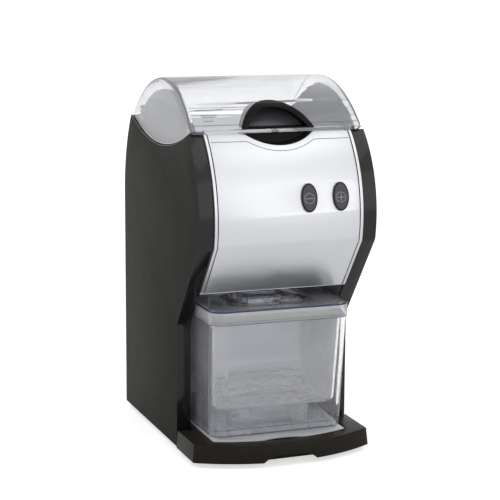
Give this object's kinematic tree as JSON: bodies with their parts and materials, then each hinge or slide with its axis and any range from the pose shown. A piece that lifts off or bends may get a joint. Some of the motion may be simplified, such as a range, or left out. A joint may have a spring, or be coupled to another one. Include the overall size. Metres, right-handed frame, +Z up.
{
  "type": "ice crusher",
  "caption": "Countertop electric ice crusher: hinged clear hopper lid, two push buttons, belt-driven toothed rotor, pull-out ice bin with basket and cover, drip tray with grid.",
  "frame": {"origin": "middle of the footprint on the worktop", "axes": "+Z up, +X to the right seen from the front, the front faces -Y"},
  "size_m": [0.234, 0.3306, 0.4645],
  "materials": {
    "panel_black": "satin faces with a glossy edge band",
    "steel": "plain sheet",
    "screw_steel": "bright",
    "rubber": "matte",
    "brushed_steel": "brushed",
    "black_plastic": "satin",
    "cast_aluminium": "cast",
    "bearing_steel": "ground",
    "copper": "enamelled wire",
    "black_gloss": "glossy",
    "button_black": "satin",
    "clear_plastic": "clear",
    "grid_steel": "light grey, satin"
  },
  "bodies": {
    "machine": {"side_panel_right": "panel_black", "side_panel_left": "panel_black", "frame_plate_right": "steel", "frame_plate_left": "steel", "panel_screws": "screw_steel", "base_plate": "steel", "rubber_feet": "rubber", "foot_screws": "screw_steel", "niche_liner": "steel", "front_cover": "brushed_steel", "finger_recess": "black_plastic", "rear_cover": "brushed_steel", "hopper_funnel": "brushed_steel", "hopper_end_right": "brushed_steel", "hopper_end_left": "brushed_steel", "hopper_screws": "screw_steel", "crushing_chamber": "cast_aluminium", "fixed_comb": "steel", "bearing_housings": "cast_aluminium", "housing_screws": "screw_steel", "bearing_outer_rings": "bearing_steel", "shaft_seals": "rubber", "ice_chute": "black_plastic", "motor_housing": "cast_aluminium", "motor_end_bells": "cast_aluminium", "stator_core": "steel", "stator_windings": "copper", "motor_cradle": "steel", "motor_bolts": "screw_steel", "fan_cowl": "black_plastic", "drive_belt": "rubber", "run_capacitor": "cast_aluminium", "control_box": "black_plastic", "power_inlet": "black_plastic", "lid_sensor": "black_plastic", "button_bezels": "black_gloss", "button_switches": "black_plastic", "hinge_brackets": "black_plastic", "hinge_screws": "screw_steel", "hinge_pin": "bearing_steel"},
    "lid": {"lid_shell": "clear_plastic", "lid_grip": "black_plastic", "lid_magnet": "bearing_steel"},
    "stop_button": {"stop_button": "button_black"},
    "start_button": {"start_button": "button_black"},
    "tray": {"drip_tray": "black_plastic", "drip_grid": "grid_steel"},
    "bin": {"ice_bin": "clear_plastic", "bin_basket": "clear_plastic", "bin_cover": "clear_plastic"},
    "rotor": {"rotor_shaft": "bearing_steel", "rotor_blades": "steel", "rotor_spacers": "steel", "rotor_bearing_inner_rings": "bearing_steel", "driven_pulley": "cast_aluminium"},
    "motor_rotor": {"motor_shaft": "bearing_steel", "motor_rotor_core": "steel", "motor_bearing_inner_rings": "bearing_steel", "cooling_fan": "black_plastic", "motor_pulley": "cast_aluminium"}
  },
  "joints": [
    {"name": "lid_hinge", "type": "hinge", "parent": "machine", "child": "lid", "pos_m": [0, 0.1374, 0.412], "axis": [-1, 0, 0], "range_deg": [0, 100]},
    {"name": "stop_press", "type": "slide", "parent": "machine", "child": "stop_button", "axis": [0, 0.9821, -0.1882], "range_m": [0, 0.0025], "stiffness_N_per_m": 600, "springref_m": -0.001},
    {"name": "start_press", "type": "slide", "parent": "machine", "child": "start_button", "axis": [0, 0.9821, -0.1882], "range_m": [0, 0.0025], "stiffness_N_per_m": 600, "springref_m": -0.001},
    {"name": "tray_slide", "type": "slide", "parent": "machine", "child": "tray", "axis": [0, -1, 0], "range_m": [0, 0.095]},
    {"name": "bin_slide", "type": "slide", "parent": "tray", "child": "bin", "axis": [0, -1, 0], "range_m": [0, 0.095]},
    {"name": "rotor_spin", "type": "hinge", "parent": "machine", "child": "rotor", "pos_m": [0, 0, 0.298], "axis": [1, 0, 0], "continuous": true},
    {"name": "motor_spin", "type": "hinge", "parent": "machine", "child": "motor_rotor", "pos_m": [0, 0.096, 0.092], "axis": [1, 0, 0], "continuous": true}
  ],
  "couplings": [
    {"joint": "motor_spin", "follows": "rotor_spin", "ratio": 2.6667}
  ]
}
